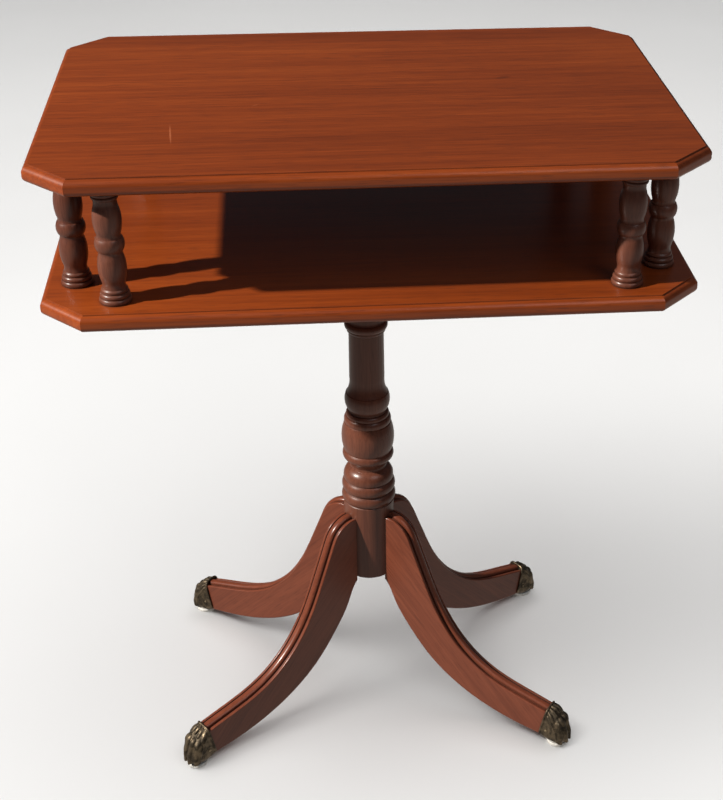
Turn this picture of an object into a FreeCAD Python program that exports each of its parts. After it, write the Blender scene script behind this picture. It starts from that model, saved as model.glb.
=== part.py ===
"""Two-tier pedestal side table: two cut-corner boards joined by eight turned spindles, on a turned
column with four reeded sabre legs, which end in cast paw caps on round glides.

Millimetres, +Z up. The origin is on the floor under the column's axis, +X runs along the long side
and -Y towards the front."""

import FreeCAD, Part
import math
import os

from FreeCAD import Vector

# ---- Driving dimensions -------------------------------------------------------------------------
TABLE_HEIGHT = 729.0
BOARD_WIDTH = 610.0
BOARD_DEPTH = 421.0
BOARD_THICKNESS = 16.0
CORNER_CUT = 40.0
TIER_GAP = 113.0            # clear height between the two boards
COLUMN_FOOT_Z = 161.0       # underside of the column
HUB_RADIUS = 28.5           # plain drum at the column's foot, which the legs are doweled to
LEG_ANGLE = 34.7            # degrees from the long side, the same for all four legs
LEG_THICKNESS = 20.5
CLEAT_SIZE = (170.0, 130.0, 20.0)

# ---- Worked out ---------------------------------------------------------------------------------
TOP_UNDER_Z = TABLE_HEIGHT - BOARD_THICKNESS
SHELF_TOP_Z = TOP_UNDER_Z - TIER_GAP
SHELF_UNDER_Z = SHELF_TOP_Z - BOARD_THICKNESS
CLEAT_UNDER_Z = SHELF_UNDER_Z - CLEAT_SIZE[2]

# ---- Board edge moulding ------------------------------------------------------------------------
# From the underside up to the foot of the small step that ends the flat top: distance in from the
# outline, height, and the rise of the arc that leads there from the point before (0 is a straight
# line, outward is positive).
EDGE_OUTLINE = [
    (4.4, 0.0, 0.0),
    (0.0, 5.2, 1.2),
    (0.0, 8.8, 0.0),
    (5.6, 14.8, 1.6),
]

# ---- Joinery ------------------------------------------------------------------------------------
GLUE_GAP = 0.05             # radial room round each tenon and dowel
SPINDLE_TENON_RADIUS = 4.5
SPINDLE_TENON_LENGTH = 9.0
HOLE_EXTRA_DEPTH = 0.5
COLUMN_TENON_RADIUS = 12.5
WEDGE_WIDTH = 24.0
WEDGE_DEPTH = 15.0
WEDGE_THICKNESS = 2.4
DOWEL_RADIUS = 4.5
DOWEL_IN_HUB = 12.0
DOWEL_IN_LEG = 18.0
DOWEL_HEIGHTS = (182.0, 216.0)
SCREW_HEAD_RADIUS = 4.2
SCREW_HEAD_HEIGHT = 3.0
SCREW_CORE_RADIUS = 1.5
SCREW_THREAD_RADIUS = 2.1
SCREW_LENGTH = 31.0
SCREW_PITCH = 1.8
SCREW_PLAIN_LENGTH = 13.0
SCREW_POSITIONS = [(sx * 66.0, sy * 46.0) for sx in (-1, 1) for sy in (-1, 1)]
CAP_PIN_RADIUS = 0.9
CAP_PIN_HEAD_RADIUS = 1.9
CAP_PIN_HEAD_HEIGHT = 0.9
CAP_PIN_LENGTH = 7.0
CAP_PIN_PLACE = (7.0, -6.5) # along the leg from the cap's rim, and square to it

# Each corner has two spindles, set parallel to the cut corner.
SPINDLE_PLACES = {"long_side": (235.4, 176.6), "short_side": (273.8, 136.4)}

# Lower half of a spindle's outline, from the shelf up to its middle ring: radius, height, and the rise
# of the arc that leads there. The upper half mirrors it.
SPINDLE_HALF_OUTLINE = [
    (14.0, 0.0, 0.0),
    (14.0, 4.8, 0.9),
    (12.8, 5.2, 0.0),
    (12.5, 9.6, 1.1),
    (11.5, 10.0, 0.0),
    (11.3, 13.6, 0.9),
    (10.9, 14.0, 0.0),
    (11.0, 20.5, -0.45),
    (11.1, 46.5, 2.0),
    (11.3, 50.2, -0.35),
    (12.0, 50.6, 0.0),
]
SPINDLE_RING_RISE = 1.5     # how far the middle ring stands out beyond the half outline's last point

# Column outline from the foot up, in the same form.
COLUMN_OUTLINE = [
    (HUB_RADIUS - 1.0, COLUMN_FOOT_Z, 0.0),
    (HUB_RADIUS, COLUMN_FOOT_Z + 1.0, 0.3),
    (HUB_RADIUS, 255.6, 0.0),
    (27.6, 256.4, 0.0),
    (28.2, 257.2, 0.0),
    (28.2, 269.0, 2.2),
    (26.8, 270.0, 0.0),
    (27.9, 271.0, 0.0),
    (27.7, 283.4, 2.2),
    (26.4, 284.4, 0.0),
    (27.6, 285.2, 0.0),
    (20.6, 300.5, 3.0),
    (20.4, 304.5, -0.5),
    (20.9, 305.0, 0.0),
    (26.6, 312.4, -0.8),
    (27.3, 313.2, 0.0),
    (27.2, 321.2, 1.3),
    (26.3, 322.0, 0.0),
    (26.0, 356.8, 3.1),
    (25.2, 357.4, 0.0),
    (24.4, 365.4, 1.2),
    (23.4, 365.8, 0.0),
    (22.4, 371.2, 0.9),
    (20.9, 371.6, 0.0),
    (20.9, 373.8, -0.3),
    (21.4, 374.2, 0.0),
    (23.4, 394.0, 2.4),
    (22.6, 394.6, 0.0),
    (19.2, 413.0, -1.4),
    (18.9, 468.4, 0.0),
    (19.6, 469.0, 0.0),
    (20.8, 472.6, 0.7),
    (21.4, 473.0, 0.0),
    (21.4, 481.0, 1.9),
    (20.4, 481.4, 0.0),
    (19.6, 484.6, -0.2),
    (23.0, 532.0, -1.2),
    (24.2, 532.4, 0.0),
    (24.2, 538.0, 1.2),
    (23.4, 538.4, 0.0),
    (33.4, 551.4, -3.2),
    (34.8, 552.0, 0.0),
    (34.8, CLEAT_UNDER_Z, 1.0),
]

# Leg outline in the leg's own plane: distance from the column's axis, and height.
LEG_UPPER = [
    (20.0, 239.0),
    (39.0, 239.5),
    (51.0, 231.0),
    (61.5, 211.0),
    (74.0, 180.0),
    (93.0, 137.0),
    (122.0, 95.5),
    (162.0, 66.5),
    (205.0, 53.0),
    (244.0, 43.5),
]
LEG_LOWER = [
    (250.0, 8.5),
    (220.0, 11.5),
    (186.0, 17.0),
    (150.0, 27.5),
    (115.0, 44.5),
    (84.0, 68.5),
    (57.0, 101.0),
    (39.5, 129.0),
    (30.0, 150.0),
    (20.0, 160.0),
]
REED_WIDTH = 8.8            # the raised reed along the middle of the leg's back
REED_RISE = 2.8
GROOVE_WIDTH = 2.4
GROOVE_DEPTH = 1.8
REED_ROUND = 3.2            # radii on the leg's long edges; the inner one is less than the groove's depth
INNER_ROUND = 1.1
OUTER_ROUND = 1.2
UNDER_ROUND = 1.6
CAP_PLANE = (236.0, 28.0)   # a point on the plane where the cap's rim meets the leg
CAP_TILT = 12.0             # degrees that the leg slopes down there
TONGUE_LENGTH = 18.0
TONGUE_THICKNESS = 16.0
TONGUE_HEIGHT = (-14.0, 12.0)
CAP_LENGTH = 31.0
CAP_WIDTH = 29.0
CAP_RIM_STEP = 1.2          # how far the rim stands out beyond the leg's side
CAP_SWELL = 18.0            # distance from the rim to the full width
CAP_BACK = [(240.4, 48.8), (250.0, 45.8), (261.0, 34.5)]
CAP_HEEL = (231.0, 8.5)
CAP_SOLE = (243.5, 260.0)   # flat stretch that stands on the glide
GLIDE_RADIUS = 11.5
GLIDE_HEIGHT = 4.5
GLIDE_EDGE = 1.2
GLIDE_PLACE = 251.0         # distance of the glide's middle from the column's axis
NAIL_RADIUS = 1.2
NAIL_LENGTH = 16.0


def outline_edges(path):
    """The edges of a path of (point, rise). Each leads to its point: straight if the rise is 0, or else
    as an arc standing out by the rise, which is positive towards +X where the path goes up."""
    edges = []
    for (start, _), (end, rise) in zip(path, path[1:]):
        if rise:
            chord = end - start
            outward = Vector(chord.z, 0, -chord.x).normalize()
            middle = (start + end) * 0.5 + outward * rise
            edges.append(Part.Arc(start, middle, end).toShape())
        else:
            edges.append(Part.LineSegment(start, end).toShape())
    return edges


def turned(outline):
    """A solid of revolution about Z from an outline of (radius, height, rise of the arc)."""
    foot = Vector(0, 0, outline[0][1])
    top = Vector(0, 0, outline[-1][1])
    path = [(Vector(r, 0, z), rise) for r, z, rise in outline]
    edges = outline_edges([(foot, 0)] + path + [(top, 0), (foot, 0)])
    return Part.Face(Part.Wire(edges)).revolve(Vector(), Vector(0, 0, 1), 360)


def cylinder(radius, length, base, axis=Vector(0, 0, 1)):
    return Part.makeCylinder(radius, length, base, axis)


def mirrored_places(place):
    """The four places of (x, y) mirrored about both centre lines, each with its corner's name."""
    x, y = place
    return {
        "front_left": (-x, -y),
        "front_right": (x, -y),
        "back_left": (-x, y),
        "back_right": (x, y),
    }


def spindle_places():
    return {
        f"spindle_{corner}_{side}": xy
        for side, place in SPINDLE_PLACES.items()
        for corner, xy in mirrored_places(place).items()
    }


# ---- Boards -------------------------------------------------------------------------------------
def edge_cutter(length):
    """What the moulding takes off one edge: outward is +X, the edge runs along Y."""
    above = BOARD_THICKNESS + 1
    below = -1
    beyond = BOARD_THICKNESS
    moulding = [(Vector(-inset, 0, z), rise) for inset, z, rise in EDGE_OUTLINE]
    foot, top = moulding[0][0], moulding[-1][0]
    around = [
        Vector(top.x, 0, above),
        Vector(beyond, 0, above),
        Vector(beyond, 0, below),
        Vector(foot.x, 0, below),
        foot,
    ]
    edges = outline_edges(moulding + [(point, 0) for point in around])
    cutter = Part.Face(Part.Wire(edges)).extrude(Vector(0, length, 0))
    cutter.translate(Vector(0, -length / 2, 0))
    return cutter


def moulded_board(underside_z):
    """A rectangle with its corners cut at 45 degrees and a moulding worked round all eight edges."""
    half_w, half_d, cut = BOARD_WIDTH / 2, BOARD_DEPTH / 2, CORNER_CUT
    corners = [
        (-half_w + cut, -half_d),
        (half_w - cut, -half_d),
        (half_w, -half_d + cut),
        (half_w, half_d - cut),
        (half_w - cut, half_d),
        (-half_w + cut, half_d),
        (-half_w, half_d - cut),
        (-half_w, -half_d + cut),
    ]
    loop = [Vector(x, y, 0) for x, y in corners]
    board = Part.Face(Part.makePolygon(loop + loop[:1])).extrude(Vector(0, 0, BOARD_THICKNESS))
    for start, end in zip(loop, loop[1:] + loop[:1]):
        along = end - start
        cutter = edge_cutter(along.Length + 2 * CORNER_CUT)
        heading = math.degrees(math.atan2(along.y, along.x)) - 90
        cutter.rotate(Vector(), Vector(0, 0, 1), heading)
        cutter.translate((start + end) * 0.5)
        board = board.cut(cutter)
    board.translate(Vector(0, 0, underside_z))
    return board


def tenon_holes(mouth_z, upward):
    """Blind holes for the spindle tenons, going up or down from a board's face."""
    depth = SPINDLE_TENON_LENGTH + HOLE_EXTRA_DEPTH
    direction = Vector(0, 0, 1 if upward else -1)
    radius = SPINDLE_TENON_RADIUS + GLUE_GAP
    return [cylinder(radius, depth, Vector(x, y, mouth_z), direction) for x, y in spindle_places().values()]


def top_board():
    return moulded_board(TOP_UNDER_Z).cut(tenon_holes(TOP_UNDER_Z, True))


def shelf_board():
    board = moulded_board(SHELF_UNDER_Z).cut(tenon_holes(SHELF_TOP_Z, False))
    return board.cut(screw_holes())


def spindle_outline():
    """The whole outline: the lower half, the middle ring, and the upper half mirrored from the lower."""
    lower = SPINDLE_HALF_OUTLINE
    ring_radius, ring_foot, _ = lower[-1]
    upper = [(ring_radius, TIER_GAP - ring_foot, SPINDLE_RING_RISE)]
    rises = [rise for _, _, rise in lower]
    for index in range(len(lower) - 2, -1, -1):
        radius, height, _ = lower[index]
        upper.append((radius, TIER_GAP - height, rises[index + 1]))
    return lower + upper


def spindle(x, y):
    body = turned(spindle_outline())
    for start in (-SPINDLE_TENON_LENGTH, TIER_GAP):
        body = body.fuse(cylinder(SPINDLE_TENON_RADIUS, SPINDLE_TENON_LENGTH, Vector(0, 0, start)))
    body = body.removeSplitter()
    body.translate(Vector(x, y, SHELF_TOP_Z))
    return body


# ---- Cleat and its screws -----------------------------------------------------------------------
def screw_holes():
    """Clearance for the whole screw, in the cleat and the shelf."""
    holes = []
    for x, y in SCREW_POSITIONS:
        base = Vector(x, y, CLEAT_UNDER_Z)
        sink = Part.makeCone(
            SCREW_HEAD_RADIUS + GLUE_GAP, SCREW_THREAD_RADIUS + GLUE_GAP, SCREW_HEAD_HEIGHT, base
        )
        shank = cylinder(SCREW_THREAD_RADIUS + GLUE_GAP, SCREW_LENGTH + HOLE_EXTRA_DEPTH, base)
        holes.append(sink.fuse(shank))
    return holes


def cleat_screw(x, y):
    """A slotted countersunk wood screw, head down, with its thread as a row of ridges."""
    outline = [
        (SCREW_HEAD_RADIUS, 0.0, 0.0),
        (SCREW_THREAD_RADIUS, SCREW_HEAD_HEIGHT, 0.0),
        (SCREW_THREAD_RADIUS, SCREW_PLAIN_LENGTH, 0.0),
    ]
    point_length = 2 * SCREW_PITCH
    turns = int((SCREW_LENGTH - SCREW_PLAIN_LENGTH - point_length) / SCREW_PITCH)
    for turn in range(turns):
        z = SCREW_PLAIN_LENGTH + turn * SCREW_PITCH
        outline.append((SCREW_CORE_RADIUS, z + SCREW_PITCH * 0.5, 0.0))
        outline.append((SCREW_THREAD_RADIUS, z + SCREW_PITCH, 0.0))
    outline.append((0.2, SCREW_LENGTH, 0.0))
    screw = turned(outline)
    slot = Part.makeBox(2 * SCREW_HEAD_RADIUS + 1, 1.1, 1.2, Vector(-SCREW_HEAD_RADIUS - 0.5, -0.55, -0.2))
    screw = screw.cut(slot)
    screw.rotate(Vector(), Vector(0, 0, 1), 35 * math.copysign(1, x) + 20 * math.copysign(1, y))
    screw.translate(Vector(x, y, CLEAT_UNDER_Z))
    return screw


def cleat():
    """The block under the shelf that the column is tenoned into."""
    length, width, height = CLEAT_SIZE
    block = Part.makeBox(length, width, height, Vector(-length / 2, -width / 2, CLEAT_UNDER_Z))
    lower = [
        edge
        for edge in block.Edges
        if all(abs(v.Z - CLEAT_UNDER_Z) < 1e-6 for v in edge.Vertexes)
    ]
    block = block.makeChamfer(6.0, lower)
    bore = cylinder(COLUMN_TENON_RADIUS + GLUE_GAP, height, Vector(0, 0, CLEAT_UNDER_Z))
    return block.cut([bore] + screw_holes())


# ---- Column -------------------------------------------------------------------------------------
def wedge_solid(gap):
    """The thin wedge driven into the top of the column's tenon, or its kerf if gap is more than 0."""
    top = SHELF_UNDER_Z - 1.0
    half = WEDGE_THICKNESS / 2 + gap
    profile = [
        Vector(0, -half, top + gap),
        Vector(0, half, top + gap),
        Vector(0, 0.25 + gap, top - WEDGE_DEPTH),
        Vector(0, -0.25 - gap, top - WEDGE_DEPTH),
    ]
    width = WEDGE_WIDTH if not gap else 2 * COLUMN_TENON_RADIUS + 2
    solid = Part.Face(Part.makePolygon(profile + profile[:1])).extrude(Vector(width, 0, 0))
    solid.translate(Vector(-width / 2, 0, 0))
    return solid


def tenon_wedge():
    tenon = cylinder(COLUMN_TENON_RADIUS, 40.0, Vector(0, 0, SHELF_UNDER_Z - 40.0))
    return wedge_solid(0.0).common(tenon)


def dowels(radius, extra):
    """Two dowels for each leg, along the leg's own direction."""
    made = []
    for angle in leg_angles().values():
        out = Vector(math.cos(math.radians(angle)), math.sin(math.radians(angle)), 0)
        for z in DOWEL_HEIGHTS:
            start = HUB_RADIUS - DOWEL_IN_HUB - extra
            base = out * start + Vector(0, 0, z)
            made.append(cylinder(radius, DOWEL_IN_HUB + DOWEL_IN_LEG + 2 * extra, base, out))
    return made


def column():
    body = turned(COLUMN_OUTLINE)
    tenon = cylinder(
        COLUMN_TENON_RADIUS, SHELF_UNDER_Z - 1.0 - CLEAT_UNDER_Z, Vector(0, 0, CLEAT_UNDER_Z)
    )
    body = body.fuse(tenon).removeSplitter()
    body = body.cut(wedge_solid(GLUE_GAP))
    return body.cut(dowels(DOWEL_RADIUS + GLUE_GAP, HOLE_EXTRA_DEPTH))


# ---- Legs ---------------------------------------------------------------------------------------
def leg_angles():
    return {
        "front_left": 180 + LEG_ANGLE,
        "front_right": -LEG_ANGLE,
        "back_left": 180 - LEG_ANGLE,
        "back_right": LEG_ANGLE,
    }


def smooth_curve(points):
    curve = Part.BSplineCurve()
    curve.interpolate([Vector(x, 0, z) for x, z in points])
    return curve


def raised(points, rise):
    """The points of the leg's back, moved out square to it by rise."""
    moved = []
    for index, (x, z) in enumerate(points):
        before = points[max(index - 1, 0)]
        after = points[min(index + 1, len(points) - 1)]
        along = Vector(after[0] - before[0], 0, after[1] - before[1]).normalize()
        moved.append((x - along.z * rise, z + along.x * rise))
    return moved


def leg_slab(y_from, y_to, rise, back_rounds=(0, 0), under_rounds=(0, 0)):
    """A slice of the leg between two thicknesses, its back raised by rise. The rounds are the radii on
    the back's and the underside's long edges, at y_from and at y_to."""
    upper = smooth_curve(raised(LEG_UPPER, rise))
    lower = smooth_curve(LEG_LOWER)
    wire = Part.Wire(
        [
            upper.toShape(),
            Part.LineSegment(upper.EndPoint, lower.StartPoint).toShape(),
            lower.toShape(),
            Part.LineSegment(lower.EndPoint, upper.StartPoint).toShape(),
        ]
    )
    slab = Part.Face(wire).extrude(Vector(0, y_to - y_from, 0))
    slab.translate(Vector(0, y_from, 0))
    for y, back, under in zip((y_from, y_to), back_rounds, under_rounds):
        for radius, on_back in ((back, True), (under, False)):
            if radius:
                slab = slab.makeFillet(radius, long_edges(slab, y, on_back))
    return slab


def long_edges(slab, y, on_back):
    """The edges of a leg slab that run the leg's whole length at this y, on its back or its underside."""
    found = []
    for edge in slab.Edges:
        heights = [vertex.Z for vertex in edge.Vertexes]
        at_y = all(abs(vertex.Y - y) < 1e-6 for vertex in edge.Vertexes)
        if len(heights) == 2 and at_y and max(heights) - min(heights) > 140:
            if (max(heights) > 200) == on_back:
                found.append(edge)
    return found


def end_space(offset):
    """The half space beyond the plane where the cap's rim meets the leg, moved out by offset."""
    block = Part.makeBox(120, 80, 160, Vector(offset, -40, -80))
    block.rotate(Vector(), Vector(0, 1, 0), CAP_TILT)
    block.translate(Vector(CAP_PLANE[0], 0, CAP_PLANE[1]))
    return block


def tongue(gap):
    """What of the leg goes into the cap; with a gap, the cap's socket."""
    low, high = TONGUE_HEIGHT
    box = Part.makeBox(
        TONGUE_LENGTH + gap + 2,
        TONGUE_THICKNESS + 2 * gap,
        high - low + 2 * gap,
        Vector(-2, -TONGUE_THICKNESS / 2 - gap, low - gap),
    )
    outer = [e for e in box.Edges if all(abs(v.X - TONGUE_LENGTH - gap) < 1e-6 for v in e.Vertexes)]
    box = box.makeFillet(2.5, outer)
    box.rotate(Vector(), Vector(0, 1, 0), CAP_TILT)
    box.translate(Vector(CAP_PLANE[0], 0, CAP_PLANE[1]))
    return box


def leg_plain():
    """A leg along +X, with its reeded back, its tongue and its dowel holes."""
    half = LEG_THICKNESS / 2
    reed = REED_WIDTH / 2
    groove = reed + GROOVE_WIDTH
    middle = leg_slab(-reed, reed, REED_RISE, (REED_ROUND, REED_ROUND))
    grooves = [leg_slab(y, y + GROOVE_WIDTH, -GROOVE_DEPTH) for y in (-groove, reed)]
    sides = [
        leg_slab(-half, -groove, 0, (OUTER_ROUND, INNER_ROUND), (UNDER_ROUND, 0)),
        leg_slab(groove, half, 0, (INNER_ROUND, OUTER_ROUND), (0, UNDER_ROUND)),
    ]
    body = middle.fuse(grooves + sides)
    fixings = cap_pin_holes() + [glide_nail(GLUE_GAP)]
    body = body.cut(end_space(0.0)).fuse(tongue(0.0).cut(fixings))
    body = body.cut(cylinder(HUB_RADIUS, 400.0, Vector(0, 0, 0)))
    for z in DOWEL_HEIGHTS:
        start = Vector(HUB_RADIUS - 5, 0, z)
        body = body.cut(
            cylinder(DOWEL_RADIUS + GLUE_GAP, DOWEL_IN_LEG + 5 + HOLE_EXTRA_DEPTH, start, Vector(1, 0, 0))
        )
    return body


def cap_pin_places():
    """Where the two pins go through the cap's sides, in the plain leg's plane, with their direction."""
    tilt = math.radians(CAP_TILT)
    along, up = CAP_PIN_PLACE
    x = CAP_PLANE[0] + along * math.cos(tilt) + up * math.sin(tilt)
    z = CAP_PLANE[1] - along * math.sin(tilt) + up * math.cos(tilt)
    side = cap_half_width(x)
    return [(Vector(x, -side, z), Vector(0, 1, 0)), (Vector(x, side, z), Vector(0, -1, 0))]


def cap_pin_holes():
    return [
        cylinder(CAP_PIN_RADIUS + GLUE_GAP, CAP_PIN_LENGTH + HOLE_EXTRA_DEPTH, place, inward)
        for place, inward in cap_pin_places()
    ]


def cap_half_width(x):
    """Half the cap's width at a distance from the column's axis: it swells from the rim to the toes."""
    rim = LEG_THICKNESS / 2 + CAP_RIM_STEP
    share = min(max((x - CAP_PLANE[0]) / CAP_SWELL, 0.0), 1.0)
    return rim + (CAP_WIDTH / 2 - rim) * share


def cap_body():
    """The cap's outer shape: what its side outline and its plan have in common."""
    tip = CAP_PLANE[0] + CAP_LENGTH
    toe = (CAP_SOLE[1], GLIDE_HEIGHT)
    back = smooth_curve(CAP_BACK + [(tip, 18.0), toe])
    heel = Vector(CAP_HEEL[0], 0, CAP_HEEL[1])
    sole_start = Vector(CAP_SOLE[0], 0, GLIDE_HEIGHT)
    wire = Part.Wire(
        [
            back.toShape(),
            Part.LineSegment(back.EndPoint, sole_start).toShape(),
            Part.LineSegment(sole_start, heel).toShape(),
            Part.LineSegment(heel, back.StartPoint).toShape(),
        ]
    )
    slab = Part.Face(wire).extrude(Vector(0, 2 * CAP_WIDTH, 0))
    slab.translate(Vector(0, -CAP_WIDTH, 0))
    plan = cap_plan(CAP_HEEL[0] - 1, tip + 0.5)
    return slab.common(plan.extrude(Vector(0, 0, 2 * CAP_BACK[0][1])))


def cap_plan(rear, tip):
    """The cap's plan as a face: straight at the rim, swelling to full width, and round at the toes."""
    full = CAP_PLANE[0] + CAP_SWELL
    half_rear, half = cap_half_width(rear), CAP_WIDTH / 2
    edges = [
        Part.LineSegment(Vector(rear, -half_rear, 0), Vector(CAP_PLANE[0], -half_rear, 0)),
        Part.LineSegment(Vector(CAP_PLANE[0], -half_rear, 0), Vector(full, -half, 0)),
        Part.Arc(Vector(full, -half, 0), Vector(tip, 0, 0), Vector(full, half, 0)),
        Part.LineSegment(Vector(full, half, 0), Vector(CAP_PLANE[0], half_rear, 0)),
        Part.LineSegment(Vector(CAP_PLANE[0], half_rear, 0), Vector(rear, half_rear, 0)),
        Part.LineSegment(Vector(rear, half_rear, 0), Vector(rear, -half_rear, 0)),
    ]
    return Part.Face(Part.Wire([edge.toShape() for edge in edges]))


def cap_plain():
    body = cap_body().common(end_space(0.0))
    body = body.cut(tongue(GLUE_GAP).common(end_space(0.0)))
    return body.cut(cap_pin_holes() + [glide_nail(GLUE_GAP)])


def cap_pin(place, inward):
    """A small round-headed pin; its head stands on the cap's side."""
    shank = cylinder(CAP_PIN_RADIUS, CAP_PIN_LENGTH, place, inward)
    crown = place - inward * CAP_PIN_HEAD_HEIGHT
    head = cylinder(CAP_PIN_HEAD_RADIUS, CAP_PIN_HEAD_HEIGHT, crown, inward)
    rim = [
        edge
        for edge in head.Edges
        if edge.Closed and all(abs((v.Point - crown).dot(inward)) < 1e-6 for v in edge.Vertexes)
    ]
    return head.makeFillet(CAP_PIN_HEAD_HEIGHT * 2 / 3, rim).fuse(shank).removeSplitter()


def glide_nail(gap):
    """The nail that holds a glide, or its hole if gap is more than 0."""
    length = NAIL_LENGTH + (HOLE_EXTRA_DEPTH if gap else 0)
    return cylinder(NAIL_RADIUS + gap, length, Vector(GLIDE_PLACE, 0, GLIDE_HEIGHT))


def glide_plain():
    """A round glide with a softened edge, and its nail."""
    disc = turned(
        [
            (GLIDE_RADIUS - GLIDE_EDGE, 0.0, 0.0),
            (GLIDE_RADIUS, GLIDE_EDGE, 0.35),
            (GLIDE_RADIUS, GLIDE_HEIGHT - GLIDE_EDGE, 0.0),
            (GLIDE_RADIUS - GLIDE_EDGE, GLIDE_HEIGHT, 0.35),
        ]
    )
    disc.translate(Vector(GLIDE_PLACE, 0, 0))
    return disc.fuse(glide_nail(0.0)).removeSplitter()


def placed_on_leg(shape, angle):
    moved = shape.copy()
    moved.rotate(Vector(), Vector(0, 0, 1), angle)
    return moved


# ---- All the nodes ------------------------------------------------------------------------------
def build():
    nodes = {
        "top_board": [top_board()],
        "shelf_board": [shelf_board()],
        "shelf_cleat": [cleat()],
        "cleat_screws": [cleat_screw(x, y) for x, y in SCREW_POSITIONS],
        "column": [column()],
        "tenon_wedge": [tenon_wedge()],
        "leg_dowels": dowels(DOWEL_RADIUS, 0.0),
    }
    for name, (x, y) in spindle_places().items():
        nodes[name] = [spindle(x, y)]
    leg, cap, glide = leg_plain(), cap_plain(), glide_plain()
    pins = [cap_pin(place, inward) for place, inward in cap_pin_places()]
    nodes["cap_pins"] = []
    for corner, angle in leg_angles().items():
        nodes[f"leg_{corner}"] = [placed_on_leg(leg, angle)]
        nodes[f"foot_cap_{corner}"] = [placed_on_leg(cap, angle)]
        nodes[f"glide_{corner}"] = [placed_on_leg(glide, angle)]
        nodes["cap_pins"] += [placed_on_leg(pin, angle) for pin in pins]
    return nodes


def main():
    os.makedirs("parts", exist_ok=True)
    for name, shapes in build().items():
        solids = [solid for shape in shapes for solid in shape.Solids]
        problems = [solid for solid in solids if not solid.isValid() or solid.Volume <= 0]
        print(f"{name}: {len(solids)} solids, {sum(s.Volume for s in solids):.0f} mm3, bad {len(problems)}")
        node = solids[0] if len(solids) == 1 else Part.makeCompound(solids)
        node.exportStep(os.path.join("parts", name + ".step"))


main()
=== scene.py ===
"""The looks of a two-tier mahogany pedestal table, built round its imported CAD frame. Metres, +Z up."""

import math

import bmesh
import bpy
from mathutils import Matrix, Vector


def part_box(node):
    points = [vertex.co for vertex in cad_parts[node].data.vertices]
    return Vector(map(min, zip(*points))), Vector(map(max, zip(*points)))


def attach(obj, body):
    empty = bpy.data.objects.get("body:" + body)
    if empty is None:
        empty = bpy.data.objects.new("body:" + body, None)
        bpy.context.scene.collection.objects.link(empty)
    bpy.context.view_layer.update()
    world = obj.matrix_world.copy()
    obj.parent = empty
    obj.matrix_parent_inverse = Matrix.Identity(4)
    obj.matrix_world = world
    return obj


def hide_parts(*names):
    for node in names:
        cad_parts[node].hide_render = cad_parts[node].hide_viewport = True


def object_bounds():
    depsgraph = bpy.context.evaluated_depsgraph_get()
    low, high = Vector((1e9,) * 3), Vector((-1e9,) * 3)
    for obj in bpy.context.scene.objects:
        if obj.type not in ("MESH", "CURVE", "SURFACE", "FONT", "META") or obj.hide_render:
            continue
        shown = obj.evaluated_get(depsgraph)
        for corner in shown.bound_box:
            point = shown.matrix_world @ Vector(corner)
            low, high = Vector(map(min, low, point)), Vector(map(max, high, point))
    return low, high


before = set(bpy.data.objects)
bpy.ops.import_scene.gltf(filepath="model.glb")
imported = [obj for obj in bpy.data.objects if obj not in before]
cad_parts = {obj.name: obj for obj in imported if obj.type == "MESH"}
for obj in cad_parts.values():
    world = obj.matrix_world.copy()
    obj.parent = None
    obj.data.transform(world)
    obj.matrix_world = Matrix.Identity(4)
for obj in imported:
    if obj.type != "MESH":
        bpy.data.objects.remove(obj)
cad_low, cad_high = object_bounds()

# ---- Camera and light ---------------------------------------------------------------------------
CAMERA_PLACE = (-0.0692, -1.4256, 1.2065)
CAMERA_YAW = 5.20           # degrees to the right of +Y
CAMERA_PITCH = -31.48
CAMERA_ROLL = 0.30
CAMERA_LENS = 67.6
CAMERA_SHIFT = (-0.0757, 0.0484)

KEY_AZIMUTH = 16.2          # degrees from +X towards +Y, the way the light travels
KEY_ELEVATION = 36.4
KEY_SIZE = 0.11             # across the lamp, which sets how soft the shadow edges are
KEY_POWER = 318.0           # watts
FRONT_POWER = 27.0
FLOOR_POWERS = (108.0, 258.0)
FLOOR_RADIUS = 5.5
FLOOR_SIDES = 96
WALL_CURVE = 2.0
WALL_CURVE_STEPS = 12
WALL_HEIGHT = 6.0

CORNERS = ("front_left", "front_right", "back_left", "back_right")


def add_camera():
    data = bpy.data.cameras.new("camera")
    data.lens = CAMERA_LENS
    data.sensor_width = 36.0
    data.shift_x, data.shift_y = CAMERA_SHIFT
    data.clip_start, data.clip_end = 0.05, 50.0
    camera = bpy.data.objects.new("camera", data)
    bpy.context.scene.collection.objects.link(camera)
    yaw, pitch, roll = (math.radians(a) for a in (CAMERA_YAW, CAMERA_PITCH, CAMERA_ROLL))
    forward = Vector(
        (math.sin(yaw) * math.cos(pitch), math.cos(yaw) * math.cos(pitch), math.sin(pitch))
    )
    level = Vector((math.cos(yaw), -math.sin(yaw), 0))
    upright = level.cross(forward)
    right = level * math.cos(roll) + upright * math.sin(roll)
    up = upright * math.cos(roll) - level * math.sin(roll)
    turn = Matrix((right, up, -forward)).transposed().to_4x4()
    camera.matrix_world = Matrix.Translation(CAMERA_PLACE) @ turn
    bpy.context.scene.camera = camera


def add_area_light(name, aim, direction, distance, size, power, colour):
    """A round lamp that shines along direction at aim, from the given distance."""
    data = bpy.data.lights.new(name, "AREA")
    data.shape = "DISK"
    data.size = size
    data.energy = power
    data.color = colour
    light = bpy.data.objects.new(name, data)
    bpy.context.scene.collection.objects.link(light)
    direction = Vector(direction).normalized()
    light.location = Vector(aim) - direction * distance
    light.rotation_mode = "QUATERNION"
    light.rotation_quaternion = direction.to_track_quat("-Z", "Y")
    return light


def light_floor(light, floor, state):
    """Makes the lamp light only the floor, or everything but the floor."""
    receivers = bpy.data.collections.new(light.name + "_receivers")
    receivers.objects.link(floor)
    receivers.collection_objects[0].light_linking.link_state = state
    light.light_linking.receiver_collection = receivers


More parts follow.
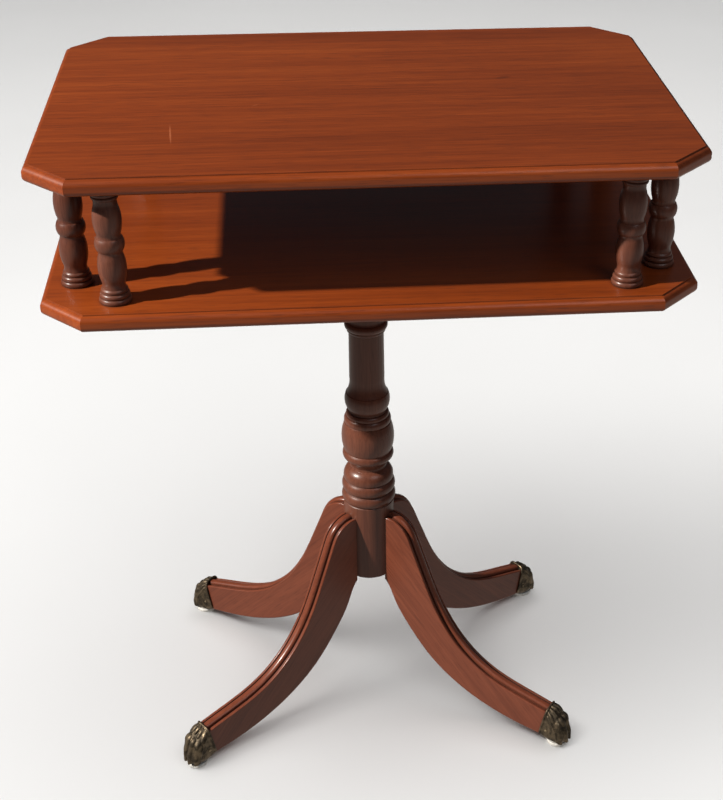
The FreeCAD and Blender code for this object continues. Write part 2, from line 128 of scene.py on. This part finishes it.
def add_lights(floor):
    azimuth, elevation = math.radians(KEY_AZIMUTH), math.radians(KEY_ELEVATION)
    key_way = (
        math.cos(azimuth) * math.cos(elevation),
        math.sin(azimuth) * math.cos(elevation),
        -math.sin(elevation),
    )
    centre = (cad_low + cad_high) / 2
    lamps = [
        add_area_light("key", centre, key_way, 4.0, KEY_SIZE, KEY_POWER, (1.0, 0.95, 0.88)),
        add_area_light("front_fill", centre, (-0.45, 0.70, -0.80), 4.0, 2.4, FRONT_POWER, (0.90, 0.95, 1.0)),
    ]
    for lamp in lamps:
        light_floor(lamp, floor, "EXCLUDE")
    leaning, overhead = FLOOR_POWERS
    floor_lamps = [
        add_area_light("floor_leaning", centre, (0.50, 0.20, -0.84), 5.0, 2.6, leaning, (1.0, 0.99, 0.975)),
        add_area_light("floor_overhead", centre, (0.0, 0.10, -1.0), 3.6, 7.0, overhead, (1.0, 0.995, 0.985)),
    ]
    for lamp in floor_lamps:
        light_floor(lamp, floor, "INCLUDE")
    add_world()
    view = bpy.context.scene.view_settings
    view.view_transform = "Standard"
    view.look = "None"


# The light from all round, from straight below (0) to straight above (1).
SURROUNDINGS = [
    (0.00, (0.47, 0.44, 0.40)),
    (0.35, (0.39, 0.37, 0.34)),
    (0.46, (0.05, 0.05, 0.05)),
    (0.70, (0.055, 0.055, 0.060)),
    (1.00, (0.14, 0.145, 0.155)),
]


def add_world():
    """A dim studio above the level, and below it the warm light that a pale floor gives back."""
    world = bpy.data.worlds.new("studio")
    world.use_nodes = True
    tree = world.node_tree
    direction = tree.nodes.new("ShaderNodeTexCoord").outputs["Generated"]
    split = tree.nodes.new("ShaderNodeSeparateXYZ")
    tree.links.new(direction, split.inputs["Vector"])
    height = tree.nodes.new("ShaderNodeMapRange")
    height.inputs["From Min"].default_value = -1.0
    tree.links.new(split.outputs["Z"], height.inputs["Value"])
    ramp = tree.nodes.new("ShaderNodeValToRGB")
    tree.links.new(height.outputs["Result"], ramp.inputs["Fac"])
    fill_ramp(ramp, SURROUNDINGS)
    tree.links.new(ramp.outputs["Color"], tree.nodes["Background"].inputs["Color"])
    bpy.context.scene.world = world


def fill_ramp(node, stops):
    elements = node.color_ramp.elements
    while len(elements) < len(stops):
        elements.new(0.5)
    for element, (place, colour) in zip(elements, stops):
        element.position = place
        element.color = (*colour, 1.0)


def add_floor(material):
    """A round pale floor that curves up into a wall. It gives no bounce light and casts no shadow, so
    that the light on the table stays as set in SURROUNDINGS."""
    profile = [(FLOOR_RADIUS * share, 0.0) for share in (0.0005, 0.5, 1.0)]
    for step in range(1, WALL_CURVE_STEPS + 1):
        angle = math.radians(90.0 * step / WALL_CURVE_STEPS)
        profile.append((FLOOR_RADIUS + WALL_CURVE * math.sin(angle), WALL_CURVE * (1 - math.cos(angle))))
    profile.append((FLOOR_RADIUS + WALL_CURVE, WALL_HEIGHT))
    bm = bmesh.new()
    angles = [2 * math.pi * k / FLOOR_SIDES for k in range(FLOOR_SIDES)]
    rings = []
    for radius, height in profile:
        rings.append([bm.verts.new((radius * math.cos(a), radius * math.sin(a), height)) for a in angles])
    for ring, following in zip(rings, rings[1:]):
        for i in range(FLOOR_SIDES):
            j = (i + 1) % FLOOR_SIDES
            bm.faces.new((ring[i], ring[j], following[j], following[i])).smooth = True
    bm.faces.new(rings[0])
    mesh = bpy.data.meshes.new("floor")
    bm.to_mesh(mesh)
    bm.free()
    mesh.materials.append(material)
    floor = bpy.data.objects.new("floor", mesh)
    bpy.context.scene.collection.objects.link(floor)
    floor.visible_diffuse = False
    floor.visible_glossy = False
    floor.visible_shadow = False
    return floor


# ---- Material helpers ---------------------------------------------------------------------------
class Nodes:
    """Short ways to add and join the nodes of one material."""

    def __init__(self, name):
        self.material = bpy.data.materials.new(name)
        self.material.use_nodes = True
        self.tree = self.material.node_tree
        self.shader = self.tree.nodes["Principled BSDF"]

    def set(self, socket, value):
        if isinstance(value, bpy.types.NodeSocket):
            self.tree.links.new(value, socket)
        elif isinstance(value, tuple) and len(value) == 3 and socket.type == "RGBA":
            socket.default_value = (*value, 1.0)
        else:
            socket.default_value = value

    def surface(self, **sockets):
        for name, value in sockets.items():
            self.set(self.shader.inputs[name.replace("_", " ")], value)

    def mapped(self, scale, turn=(0, 0, 0), shift=(0, 0, 0)):
        """Object coordinates, turned and then stretched, in metres."""
        source = self.tree.nodes.new("ShaderNodeTexCoord").outputs["Object"]
        turned = self.tree.nodes.new("ShaderNodeMapping")
        turned.inputs["Rotation"].default_value = turn
        turned.inputs["Location"].default_value = shift
        self.set(turned.inputs["Vector"], source)
        stretched = self.tree.nodes.new("ShaderNodeMapping")
        stretched.inputs["Scale"].default_value = scale
        self.set(stretched.inputs["Vector"], turned.outputs["Vector"])
        return stretched.outputs["Vector"]

    def noise(self, vector, scale=1.0, detail=2.0, roughness=0.5, distortion=0.0):
        node = self.tree.nodes.new("ShaderNodeTexNoise")
        self.set(node.inputs["Vector"], vector)
        node.inputs["Scale"].default_value = scale
        node.inputs["Detail"].default_value = detail
        node.inputs["Roughness"].default_value = roughness
        node.inputs["Distortion"].default_value = distortion
        return node.outputs["Fac"]

    def math(self, operation, a, b=0.0):
        node = self.tree.nodes.new("ShaderNodeMath")
        node.operation = operation
        self.set(node.inputs[0], a)
        self.set(node.inputs[1], b)
        return node.outputs[0]

    def remap(self, value, low, high, to_low=0.0, to_high=1.0):
        node = self.tree.nodes.new("ShaderNodeMapRange")
        node.interpolation_type = "SMOOTHSTEP"
        self.set(node.inputs["Value"], value)
        node.inputs["From Min"].default_value = low
        node.inputs["From Max"].default_value = high
        node.inputs["To Min"].default_value = to_low
        node.inputs["To Max"].default_value = to_high
        return node.outputs["Result"]

    def mix(self, share, a, b, blend="MIX"):
        node = self.tree.nodes.new("ShaderNodeMix")
        node.data_type = "RGBA"
        node.blend_type = blend
        self.set(node.inputs["Factor"], share)
        self.set(node.inputs[6], a)
        self.set(node.inputs[7], b)
        return node.outputs[2]

    def ramp(self, value, stops):
        node = self.tree.nodes.new("ShaderNodeValToRGB")
        self.set(node.inputs["Fac"], value)
        fill_ramp(node, stops)
        return node.outputs["Color"]

    def bump(self, height, strength, distance):
        node = self.tree.nodes.new("ShaderNodeBump")
        node.inputs["Strength"].default_value = strength
        node.inputs["Distance"].default_value = distance
        self.set(node.inputs["Height"], height)
        return node.outputs["Normal"]

    def edge_wear(self, radius):
        """1 on sharp edges, fading to 0 on flat faces."""
        bevel = self.tree.nodes.new("ShaderNodeBevel")
        bevel.samples = 4
        bevel.inputs["Radius"].default_value = radius
        plain = self.tree.nodes.new("ShaderNodeNewGeometry")
        dot = self.tree.nodes.new("ShaderNodeVectorMath")
        dot.operation = "DOT_PRODUCT"
        self.set(dot.inputs[0], bevel.outputs["Normal"])
        self.set(dot.inputs[1], plain.outputs["Normal"])
        return self.remap(dot.outputs["Value"], 0.995, 0.80)

    def crevice(self, distance):
        """1 in tight corners, 0 in the open."""
        node = self.tree.nodes.new("ShaderNodeAmbientOcclusion")
        node.samples = 4
        node.inputs["Distance"].default_value = distance
        return self.remap(node.outputs["AO"], 0.85, 0.35)

    def mark(self, colour, place, half_size, heading, tone, share):
        """Lays a small mark, fading at its rim, over the colour at a place."""
        shift = Matrix.Rotation(-heading, 3, "Z") @ -place
        spot = self.mapped([1 / half for half in half_size], (0, 0, -heading), shift)
        distance = self.tree.nodes.new("ShaderNodeVectorMath")
        distance.operation = "LENGTH"
        self.set(distance.inputs[0], spot)
        ragged = self.noise(self.mapped((240.0, 240.0, 240.0)), 1.0, 3.0, 0.6)
        reach = self.math("ADD", distance.outputs["Value"], self.math("MULTIPLY", ragged, 0.6))
        return self.mix(self.remap(reach, 1.25, 0.55, 0.0, share), colour, tone)


# ---- Wood ---------------------------------------------------------------------------------------
def mahogany(name, tones, turn, shift, contrast=1.0, gloss=0.3, marks=()):
    """Stained mahogany under satin lacquer. The grain runs along X once the coordinates are turned."""
    n = Nodes(name)
    dark, middle, light = tones
    broad = n.noise(n.mapped((1.3, 8.0, 8.0), turn, shift), 1.0, 3.0, 0.55, 0.5)
    bands = n.noise(n.mapped((1.5, 60.0, 60.0), turn, shift), 1.0, 3.0, 0.6, 0.3)
    streaks = n.noise(n.mapped((7.0, 300.0, 300.0), turn, shift), 1.0, 4.0, 0.65, 0.2)
    fibres = n.noise(n.mapped((22.0, 720.0, 720.0), turn, shift), 1.0, 1.0, 0.6)
    pores = n.remap(n.noise(n.mapped((50.0, 1050.0, 1050.0), turn, shift), 1.0, 0.0), 0.60, 0.72)

    tone = n.math("MULTIPLY", broad, 0.38)
    tone = n.math("ADD", tone, n.math("MULTIPLY", bands, 0.28))
    tone = n.math("ADD", tone, n.math("MULTIPLY", streaks, 0.34))
    spread = 0.13 / contrast
    colour = n.ramp(tone, [(0.5 - spread, dark), (0.5, middle), (0.5 + spread, light)])
    colour = n.mix(n.remap(fibres, 0.35, 0.70, 0.0, 0.20), colour, (0.45, 0.34, 0.28), "MULTIPLY")
    colour = n.mix(n.math("MULTIPLY", pores, 0.30), colour, (0.05, 0.012, 0.006))
    # Painted shade: the colour darkens towards near black in tight corners and grooves, where shade falls;
    # the same mask also roughens the lacquer there
    crevice_shade = n.crevice(0.006)
    colour = n.mix(n.math("MULTIPLY", crevice_shade, 0.60), colour, (0.020, 0.007, 0.004))
    wear = n.math("MULTIPLY", n.edge_wear(0.0010), n.noise(n.mapped((34, 34, 34)), 1.0, 3.0))
    worn = tuple(min(1.0, c * 1.6) for c in light)
    colour = n.mix(n.remap(wear, 0.30, 0.75, 0.0, 0.40), colour, worn)
    for mark in marks:
        colour = n.mark(colour, *mark)

    smudge = n.noise(n.mapped((4.0, 7.0, 7.0), turn, shift), 1.0, 1.0, 0.4)
    rough = n.remap(smudge, 0.25, 0.75, gloss - 0.04, gloss + 0.07)
    rough = n.math("ADD", rough, n.math("MULTIPLY", streaks, 0.04))
    rough = n.math("ADD", rough, n.math("MULTIPLY", crevice_shade, 0.25))
    relief = n.math("SUBTRACT", fibres, pores)
    normal = n.bump(relief, 0.08, 0.00008)
    n.surface(
        Base_Color=colour,
        Roughness=rough,
        Normal=normal,
        Specular_IOR_Level=0.38,
        Coat_Weight=0.10,
        Coat_Roughness=0.16,
    )
    return n.material


def bare_hardwood(name, turn, shift):
    n = Nodes(name)
    bands = n.noise(n.mapped((2.0, 60.0, 60.0), turn, shift), 1.0, 3.0, 0.6, 0.4)
    streaks = n.noise(n.mapped((5.0, 320.0, 320.0), turn, shift), 1.0, 3.0, 0.6)
    tone = n.math("ADD", n.math("MULTIPLY", bands, 0.6), n.math("MULTIPLY", streaks, 0.4))
    colour = n.ramp(tone, [(0.32, (0.13, 0.06, 0.03)), (0.5, (0.20, 0.10, 0.05)), (0.7, (0.28, 0.155, 0.08))])
    # Painted shade: the colour darkens in tight corners, where shade falls
    colour = n.mix(n.math("MULTIPLY", n.crevice(0.01), 0.6), colour, (0.05, 0.025, 0.014))
    normal = n.bump(streaks, 0.35, 0.0003)
    n.surface(Base_Color=colour, Roughness=n.remap(streaks, 0.3, 0.7, 0.62, 0.8), Normal=normal)
    return n.material


# ---- Metal and plastic --------------------------------------------------------------------------
def aged_brass(name, bright, patina, verdigris_share):
    n = Nodes(name)
    cloud = n.noise(n.mapped((90.0, 90.0, 90.0)), 1.0, 5.0, 0.65, 0.4)
    grit = n.noise(n.mapped((900.0, 900.0, 900.0)), 1.0, 3.0, 0.6)
    hollow = n.crevice(0.004)
    rubbed = n.math("MULTIPLY", n.edge_wear(0.0010), n.remap(cloud, 0.3, 0.6))
    age = n.math("ADD", n.remap(cloud, 0.35, 0.65, 0.25, 0.85), hollow)
    age = n.math("SUBTRACT", age, n.math("MULTIPLY", rubbed, 0.8))
    age = n.remap(age, 0.0, 1.0)
    colour = n.mix(age, bright, patina)
    patches = n.noise(n.mapped((60.0, 60.0, 60.0), shift=(3.0, 1.0, 2.0)), 1.0, 4.0)
    green = n.math("MULTIPLY", n.remap(patches, 0.52, 0.7), hollow)
    colour = n.mix(n.math("MULTIPLY", green, verdigris_share), colour, (0.10, 0.13, 0.09))
    rough = n.math("ADD", n.remap(age, 0.0, 1.0, 0.30, 0.52), n.math("MULTIPLY", grit, 0.12))
    normal = n.bump(n.math("ADD", grit, n.math("MULTIPLY", cloud, 1.5)), 0.25, 0.00025)
    n.surface(Base_Color=colour, Roughness=rough, Normal=normal, Metallic=0.85)
    return n.material


def nylon(name):
    n = Nodes(name)
    scuff = n.noise(n.mapped((260.0, 260.0, 260.0)), 1.0, 4.0, 0.6)
    colour = n.ramp(scuff, [(0.35, (0.52, 0.50, 0.46)), (0.6, (0.74, 0.73, 0.70))])
    # Painted shade: the colour darkens in tight corners, where shade falls
    colour = n.mix(n.math("MULTIPLY", n.crevice(0.004), 0.6), colour, (0.25, 0.23, 0.20))
    n.surface(
        Base_Color=colour, Roughness=n.remap(scuff, 0.3, 0.7, 0.35, 0.6), Normal=n.bump(scuff, 0.2, 0.0002)
    )
    return n.material


def zinc_steel(name):
    n = Nodes(name)
    spangle = n.noise(n.mapped((500.0, 500.0, 500.0)), 1.0, 3.0, 0.6)
    colour = n.ramp(spangle, [(0.35, (0.20, 0.19, 0.17)), (0.65, (0.42, 0.41, 0.38))])
    n.surface(
        Base_Color=colour,
        Roughness=n.remap(spangle, 0.3, 0.7, 0.32, 0.55),
        Normal=n.bump(spangle, 0.2, 0.0001),
        Metallic=1.0,
    )
    return n.material


def pale_floor():
    n = Nodes("floor")
    cloud = n.noise(n.mapped((1.2, 1.2, 1.2)), 1.0, 3.0)
    colour = n.ramp(cloud, [(0.3, (0.76, 0.755, 0.745)), (0.7, (0.80, 0.795, 0.785))])
    n.surface(Base_Color=colour, Roughness=0.85)
    return n.material


# ---- Dressing the CAD nodes ---------------------------------------------------------------------
TOP_TONES = ((0.135, 0.0225, 0.0036), (0.212, 0.0375, 0.0054), (0.295, 0.0585, 0.0086))
TURNED_TONES = ((0.066, 0.0190, 0.0120), (0.118, 0.0390, 0.0225), (0.178, 0.0600, 0.0340))
LEG_TONES = ((0.090, 0.0205, 0.0100), (0.150, 0.0380, 0.0180), (0.210, 0.0565, 0.0270))

ALONG_X = (0.0, 0.0, 0.0)
ALONG_Z = (0.0, math.radians(90), 0.0)
BRASS, BRASS_PATINA = (0.38, 0.29, 0.18), (0.09, 0.07, 0.045)
BRONZE, BRONZE_PATINA = (0.235, 0.175, 0.110), (0.036, 0.029, 0.021)

LEG_GRAIN_SLOPE = math.radians(46)    # the board a leg is sawn from, below the level


def use(node_name, material):
    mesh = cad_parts[node_name].data
    mesh.materials.clear()
    mesh.materials.append(material)
    for polygon in mesh.polygons:
        polygon.material_index = 0


def middle_of(node_name):
    low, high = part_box(node_name)
    return (low + high) / 2


def turn_for_leg(direction):
    """The turn that brings a leg's sloping grain onto X: about Z first, and then about Y."""
    heading = math.atan2(direction.y, direction.x)
    turn = Matrix.Rotation(-LEG_GRAIN_SLOPE, 3, "Y") @ Matrix.Rotation(-heading, 3, "Z")
    return tuple(turn.to_euler("XYZ"))


def on_top(share_x, share_y):
    """A point of the top's upper face, at shares of its length and depth from the front left."""
    low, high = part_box("top_board")
    return Vector((low.x + (high.x - low.x) * share_x, low.y + (high.y - low.y) * share_y, high.z))


def top_marks():
    """Slight damage to the top: a pale scratch across the grain, a dark smudge and two small nicks."""
    pale, dark = (0.40, 0.115, 0.045), (0.060, 0.012, 0.004)
    return [
        (on_top(0.205, 0.255), (0.0330, 0.0012, 0.01), math.radians(94), pale, 0.65),
        (on_top(0.735, 0.585), (0.0120, 0.0050, 0.01), math.radians(20), dark, 0.50),
        (on_top(0.500, 0.770), (0.0030, 0.0012, 0.01), math.radians(5), dark, 0.60),
        (on_top(0.330, 0.430), (0.0060, 0.0010, 0.01), math.radians(40), pale, 0.35),
    ]


def dress_cad():
    top = mahogany("mahogany_top", TOP_TONES, ALONG_X, (0.3, 0.1, 0.2), 0.85, 0.30, top_marks())
    use("top_board", top)
    use("shelf_board", mahogany("mahogany_shelf", TOP_TONES, ALONG_X, (1.7, 0.6, 0.9), 0.8, 0.30))
    use("column", mahogany("mahogany_column", TURNED_TONES, ALONG_Z, (0.4, 0.0, 0.7), 0.8, 0.29))
    spindles = [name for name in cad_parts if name.startswith("spindle_")]
    for index, name in enumerate(sorted(spindles)):
        shift = (0.31 * index, 0.17 * index, 0.0)
        use(name, mahogany("mahogany_" + name, TURNED_TONES, ALONG_Z, shift, 0.8, 0.31))
    for index, corner in enumerate(CORNERS):
        direction = middle_of("leg_" + corner)
        turn = turn_for_leg(direction)
        shift = (0.23 * index, 0.41 * index, 0.3)
        use("leg_" + corner, mahogany("mahogany_leg_" + corner, LEG_TONES, turn, shift, 0.7, 0.28))
        use("glide_" + corner, nylon("nylon_" + corner))
    use("cap_pins", aged_brass("brass_pins", BRASS, BRASS_PATINA, 0.2))
    use("shelf_cleat", bare_hardwood("hardwood_cleat", ALONG_X, (0.2, 0.5, 0.1)))
    use("leg_dowels", bare_hardwood("hardwood_dowels", ALONG_X, (0.7, 0.2, 0.4)))
    use("tenon_wedge", bare_hardwood("hardwood_wedge", ALONG_Z, (0.1, 0.8, 0.6)))
    use("cleat_screws", zinc_steel("zinc_screws"))


# ---- Paw caps -----------------------------------------------------------------------------------
# In millimetres in the leg's own plane: x outward from the column's axis, y sideways and z up.
# A section of the cap: its lowest point, its highest point, its half width and its squareness.
CAP_SECTIONS = [
    ((231.9, 8.6), (240.4, 48.6), 11.5, 5.0),
    ((238.0, 6.2), (246.0, 46.0), 12.3, 4.4),
    ((244.0, 4.6), (251.8, 41.2), 13.4, 3.7),
    ((250.0, 4.5), (257.0, 36.2), 14.0, 3.3),
    ((255.5, 4.5), (260.4, 28.0), 13.4, 2.5),
    ((259.5, 5.2), (263.0, 20.6), 11.4, 2.3),
    ((262.3, 7.2), (264.4, 15.6), 7.6, 2.1),
]
RIM_BEAD_RADIUS = 1.25
RIM_BEAD_ANGLES = (-30.0, 216.0)      # the bead leaves out the cap's underside
CAP_VOXEL = 0.42            # of the remesh that makes the cap one casting
CAP_WEAR_STEPS = 3          # rounds of smoothing that soften the relief
CAP_FACES_KEPT = 0.35

# One half of the relief, mirrored in y: the points of each stem, and its radii along them.
LEAF_STEMS = [
    ([(243.0, 0.0, 47.4), (246.8, 0.0, 45.8), (250.8, 0.0, 42.8)], (1.9, 2.3, 1.7)),
    ([(242.8, 4.6, 46.8), (246.6, 5.2, 44.9), (250.8, 5.9, 40.8)], (1.8, 2.2, 2.2)),
    ([(242.4, 8.8, 44.8), (245.8, 10.2, 42.0), (249.2, 11.3, 37.0)], (1.6, 2.0, 2.1)),
]
# The raised, scalloped edge between the relief and the plain side.
SIDE_SCROLL = [
    (242.6, 11.6, 40.5),
    (246.6, 12.8, 35.0),
    (251.4, 13.6, 27.5),
    (254.6, 13.4, 18.0),
    (255.6, 12.4, 8.5),
]
SCROLL_RADII = (1.0, 1.3, 0.9, 1.2, 0.8)
# The middle line of a toe, from the knuckle to the tip, with its radii.
INNER_TOE = [
    (250.6, 3.4, 38.4),
    (256.2, 3.8, 34.4),
    (259.8, 3.9, 27.0),
    (261.8, 3.9, 18.6),
    (262.8, 3.7, 9.6),
]
OUTER_TOE = [
    (249.6, 8.8, 36.0),
    (254.4, 9.2, 32.2),
    (257.0, 10.0, 24.0),
    (258.2, 10.2, 16.0),
    (258.6, 10.0, 8.8),
]
TOE_RADII = (2.6, 4.1, 3.0, 3.7, 3.2)
CLAW_RADII = (1.9, 1.9, 2.3)
CLAW_REACH = 1.5            # of the claw's middle, from the middle of the toe's tip


def blob(bm, place, radii, lean=0.0):
    """An ellipsoid whose long way leans nose down by so many degrees."""
    turn = Matrix.Rotation(math.radians(lean), 4, "Y")
    matrix = Matrix.Translation(place) @ turn @ Matrix.Diagonal((*radii, 1.0))
    bmesh.ops.create_icosphere(bm, subdivisions=3, radius=1.0, matrix=matrix)


def skin(bm, rings):
    """Joins rings of vertices into a closed skin, with a flat face on each end."""
    count = len(rings[0])
    for ring, following in zip(rings, rings[1:]):
        for i in range(count):
            j = (i + 1) % count
            bm.faces.new((ring[i], ring[j], following[j], following[i]))
    bm.faces.new(reversed(rings[0]))
    bm.faces.new(rings[-1])


def stem(bm, points, radii, sides=14, steps=12):
    """A round stem along a smooth line through the points, with a radius at each of them."""
    line = smooth_line(points, steps)
    widths = smooth_line([(radius, 0, 0) for radius in radii], steps)
    rings = []
    for index, (point, width) in enumerate(zip(line, widths)):
        ahead = line[min(index + 1, len(line) - 1)] - line[max(index - 1, 0)]
        across = ahead.cross(Vector((0, 1, 0.3))).normalized()
        beside = ahead.cross(across).normalized()
        angles = [2 * math.pi * k / sides for k in range(sides)]
        rings.append(
            [bm.verts.new(point + (across * math.cos(a) + beside * math.sin(a)) * width.x) for a in angles]
        )
    skin(bm, rings)
    for end, width in ((line[0], widths[0]), (line[-1], widths[-1])):
        blob(bm, end, (width.x,) * 3)


def smooth_line(points, steps):
    """Points along a Catmull-Rom curve through the given points, steps to a span."""
    points = [Vector(p) for p in points]
    padded = [points[0] * 2 - points[1], *points, points[-1] * 2 - points[-2]]
    line = []
    for a, b, c, d in zip(padded, padded[1:], padded[2:], padded[3:]):
        for k in range(steps):
            t = k / steps
            square = (2 * a - 5 * b + 4 * c - d) * t**2
            cube = (3 * b - a - 3 * c + d) * t**3
            line.append(0.5 * (2 * b + (c - a) * t + square + cube))
    return [*line, points[-1]]


def section_line(low, high, half_width, squareness, first_angle=0.0, last_angle=360.0, steps=48):
    """Points round a rounded section that stands between two points of the leg's plane. The angles go
    from +Y over the top."""
    low, high = Vector((low[0], 0, low[1])), Vector((high[0], 0, high[1]))
    line = []
    for k in range(steps):
        angle = math.radians(first_angle + (last_angle - first_angle) * k / steps)
        across, upward = (
            math.copysign(abs(value) ** (2 / squareness), value)
            for value in (math.cos(angle), math.sin(angle))
        )
        line.append((low + high) / 2 + (high - low) / 2 * upward + Vector((0, half_width * across, 0)))
    return line


def mirrored(point, side):
    return (point[0], point[1] * side, point[2])


def toe(bm, points, side):
    points = [mirrored(p, side) for p in points]
    stem(bm, points, TOE_RADII)
    tip = points[-1]
    blob(bm, (tip[0] + CLAW_REACH, tip[1], tip[2] - 1.0), CLAW_RADII, -24)


def paw_cap_mesh():
    bm = bmesh.new()
    skin(bm, [[bm.verts.new(p) for p in section_line(*section)] for section in CAP_SECTIONS])
    rim = section_line(*CAP_SECTIONS[0], *RIM_BEAD_ANGLES, 40)
    stem(bm, rim, (RIM_BEAD_RADIUS,) * len(rim), steps=2)
    for side in (-1, 1):
        for points, radii in LEAF_STEMS:
            stem(bm, [mirrored(p, side) for p in points], radii)
        stem(bm, [mirrored(p, side) for p in SIDE_SCROLL], SCROLL_RADII)
        toe(bm, INNER_TOE, side)
        toe(bm, OUTER_TOE, side)
    mesh = bpy.data.meshes.new("paw_cap")
    bm.to_mesh(mesh)
    bm.free()
    return mesh


def add_paw_cap(corner):
    direction = middle_of("glide_" + corner)
    heading = math.atan2(direction.y, direction.x)
    piece = bpy.data.objects.new("paw_cap_" + corner, paw_cap_mesh())
    bpy.context.scene.collection.objects.link(piece)
    remesh = piece.modifiers.new("casting", "REMESH")
    remesh.mode = "VOXEL"
    remesh.voxel_size = CAP_VOXEL
    smooth = piece.modifiers.new("worn", "SMOOTH")
    smooth.factor, smooth.iterations = 0.5, CAP_WEAR_STEPS
    thin = piece.modifiers.new("thin", "DECIMATE")
    thin.ratio = CAP_FACES_KEPT
    bake_modifiers(piece)
    piece.data.transform(Matrix.Rotation(heading, 4, "Z") @ Matrix.Scale(0.001, 4))
    piece.data.materials.append(aged_brass("bronze_" + corner, BRONZE, BRONZE_PATINA, 0.5))
    for polygon in piece.data.polygons:
        polygon.use_smooth = True
    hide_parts("foot_cap_" + corner)
    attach(piece, "root")


def bake_modifiers(piece):
    """Gives the piece the mesh that its modifiers make."""
    evaluated = piece.evaluated_get(bpy.context.evaluated_depsgraph_get())
    mesh = bpy.data.meshes.new_from_object(evaluated)
    piece.modifiers.clear()
    piece.data = mesh


add_camera()
add_lights(add_floor(pale_floor()))
dress_cad()
for corner in CORNERS:
    add_paw_cap(corner)
